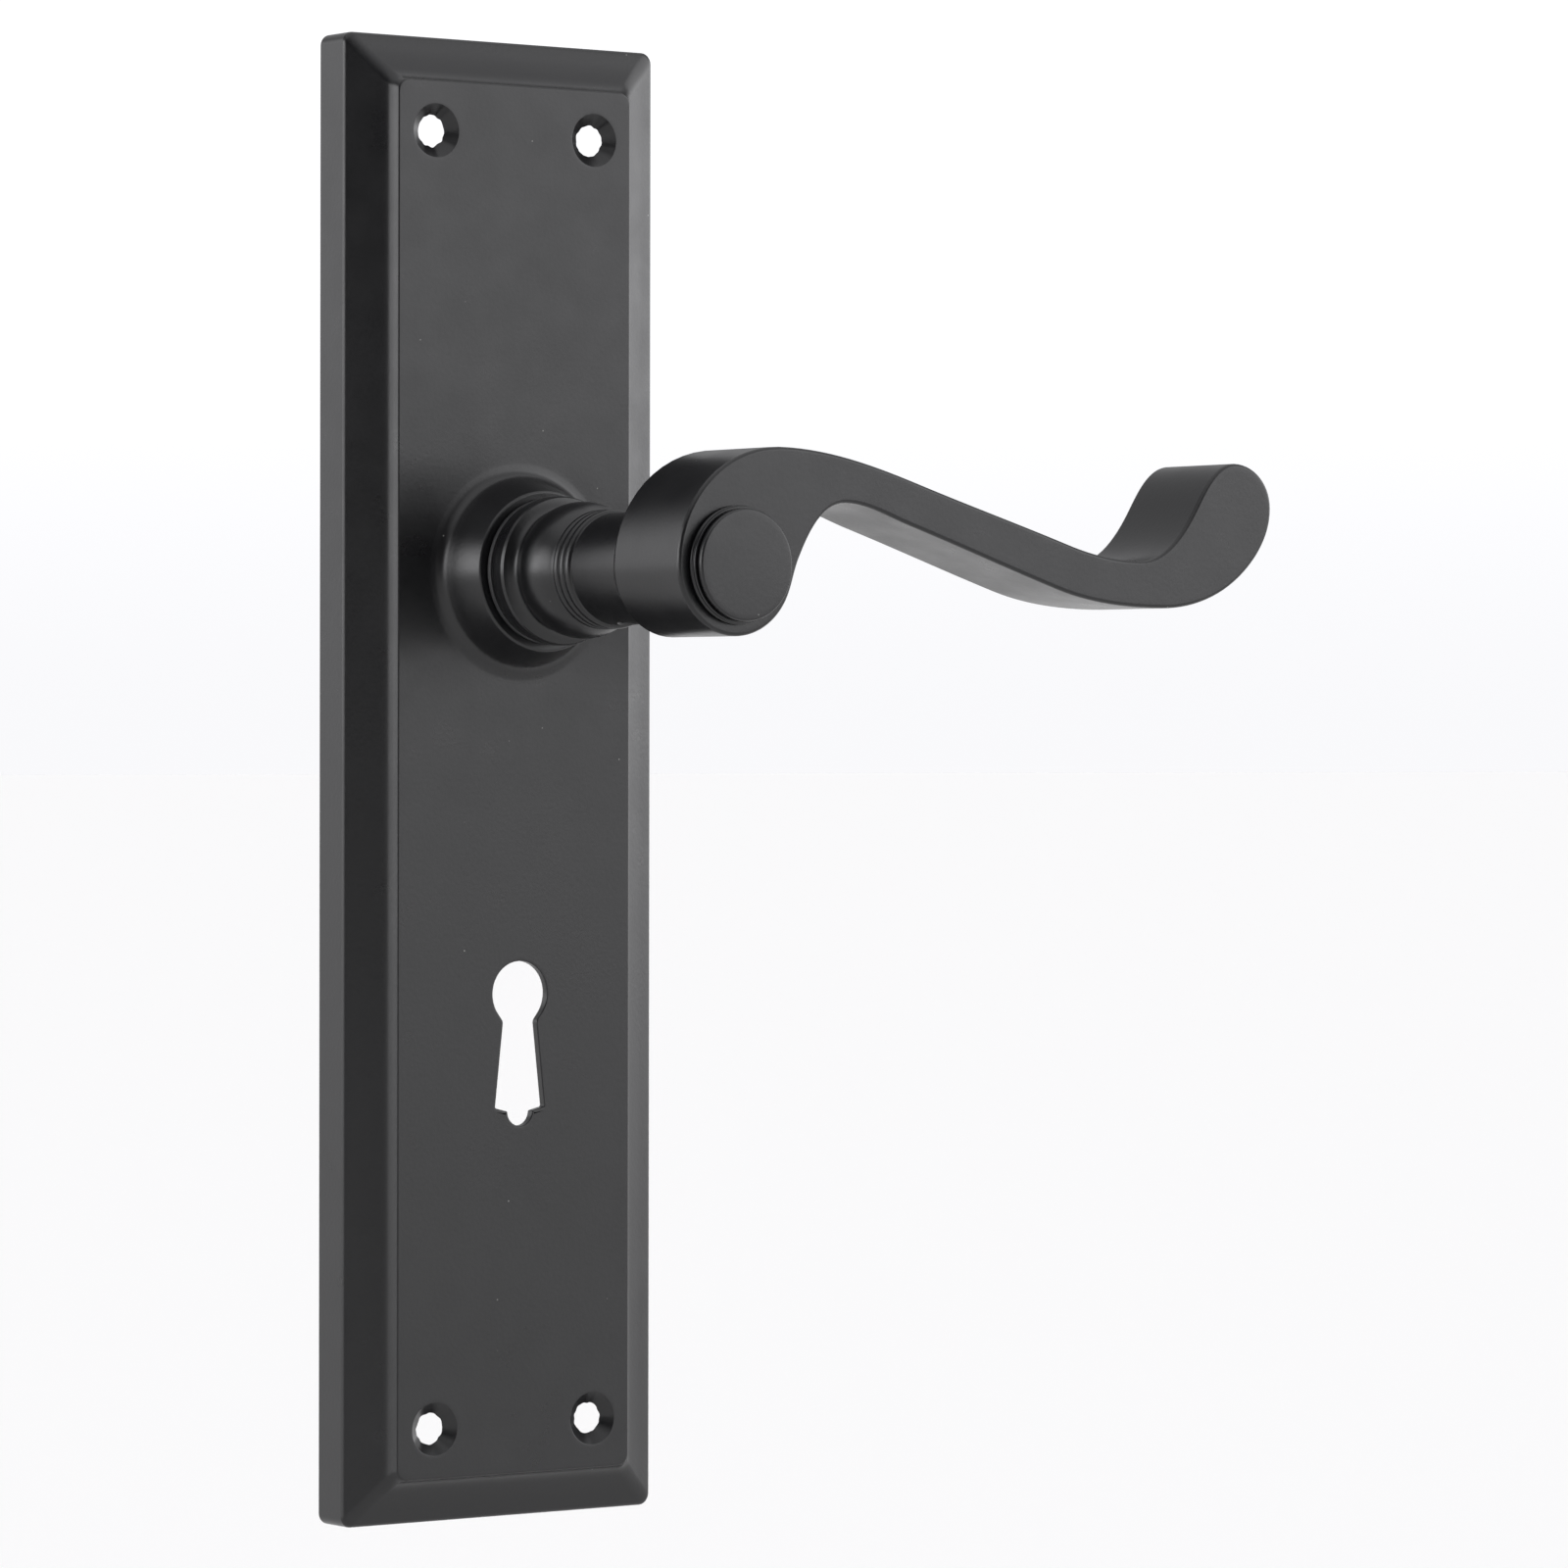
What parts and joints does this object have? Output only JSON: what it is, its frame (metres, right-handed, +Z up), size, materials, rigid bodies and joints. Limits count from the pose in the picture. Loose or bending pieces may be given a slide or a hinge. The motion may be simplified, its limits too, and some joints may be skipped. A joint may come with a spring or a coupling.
{
  "type": "lever handle lockset",
  "caption": "Sprung scroll lever handle on a long bevelled backplate with a keyhole, square spindle and spring cassette behind the plate.",
  "frame": {"origin": "lever turning axis where it meets the door face", "axes": "+X along the lever, -Y out of the door towards the user, +Z up"},
  "size_m": [0.116, 0.0971, 0.2],
  "materials": {
    "black_coat": "satin black powder coat over cast metal",
    "nylon": "moulded black nylon",
    "plated_steel": "zinc plated pressed steel",
    "spring_steel": "oiled spring steel",
    "bright_steel": "cold drawn steel bar",
    "dark_steel": "black oxide steel"
  },
  "bodies": {
    "plate": {"backplate": "black_coat", "bearing_bush": "nylon", "spring_housing": "plated_steel", "cover_plate": "plated_steel", "return_spring": "spring_steel", "cassette_screw_upper": "plated_steel", "cassette_screw_lower": "plated_steel", "lock_washer_upper": "plated_steel", "lock_washer_lower": "plated_steel"},
    "lever": {"shank": "black_coat", "lever_arm": "black_coat", "hub_screw": "dark_steel", "hub_washer": "plated_steel", "button_step": "black_coat", "button_cap": "black_coat", "grub_screw": "dark_steel", "spindle": "bright_steel", "spring_driver": "dark_steel", "retaining_washer": "plated_steel", "circlip": "spring_steel"}
  },
  "joints": [
    {"name": "lever_turn", "type": "hinge", "parent": "plate", "child": "lever", "pos_m": [0, 0, 0], "axis": [0, 1, 0], "range_deg": [0, 50], "stiffness_Nm_per_rad": 0.22, "springref_deg": -45.84, "deforming": ["return_spring"]}
  ]
}
